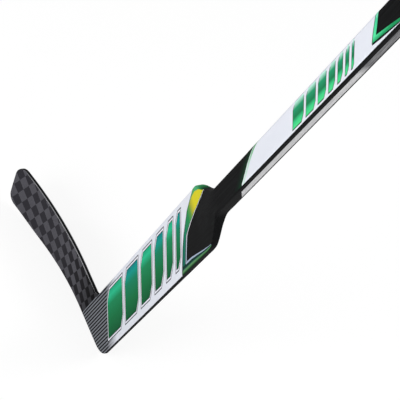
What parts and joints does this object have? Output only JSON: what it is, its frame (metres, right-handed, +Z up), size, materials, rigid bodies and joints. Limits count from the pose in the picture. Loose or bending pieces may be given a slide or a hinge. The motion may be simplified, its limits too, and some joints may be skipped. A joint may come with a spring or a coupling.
{
  "type": "hockey goalie stick",
  "caption": "Composite ice hockey goalie stick with a wide paddle, a curved blade, a sculpted throat and a rectangular tube shaft, with white and green printed films.",
  "frame": {"origin": "on the ice plane, at the middle of the heel's flat sole, where the centreline of the shaft meets it", "axes": "playing pose: +Z up from the sole, -X along the sole towards the toe, the shaft leans towards +X, -Y out of the forehand face that the blade curves towards"},
  "size_m": [1.0506, 0.0566, 1.3673],
  "materials": {
    "carbon_gloss": "black carbon under clear coat",
    "carbon_weave": "spread-tow carbon weave under satin clear coat",
    "carbon_laminate": "bare laminate",
    "white_film": "printed gloss film",
    "grey_film": "silver-grey film",
    "green_print": "green printed ink under clear coat",
    "foam": "closed-cell foam",
    "cap_plastic": "moulded black plastic"
  },
  "bodies": {
    "root": {"shaft_tube": "carbon_gloss", "throat_moulding": "carbon_gloss", "paddle_inner_rail": "carbon_gloss", "paddle_outer_rail": "carbon_gloss", "heel_block": "carbon_gloss", "blade_edge_wrap": "carbon_gloss", "blade_front_skin": "carbon_weave", "blade_back_skin": "carbon_weave", "paddle_front_skin": "carbon_laminate", "paddle_back_skin": "carbon_laminate", "paddle_spine": "carbon_laminate", "blade_rib": "carbon_laminate", "blade_tenon": "carbon_laminate", "shaft_tenon": "carbon_laminate", "paddle_front_film": "white_film", "paddle_back_film": "white_film", "shaft_front_film": "white_film", "shaft_back_film": "white_film", "shaft_side_label": "grey_film", "shaft_foam_core": "foam", "throat_inner_core": "foam", "throat_outer_core": "foam", "paddle_inner_core": "foam", "paddle_outer_core": "foam", "blade_upper_core": "foam", "blade_lower_core": "foam", "shaft_end_cap": "cap_plastic"}
  },
  "joints": []
}
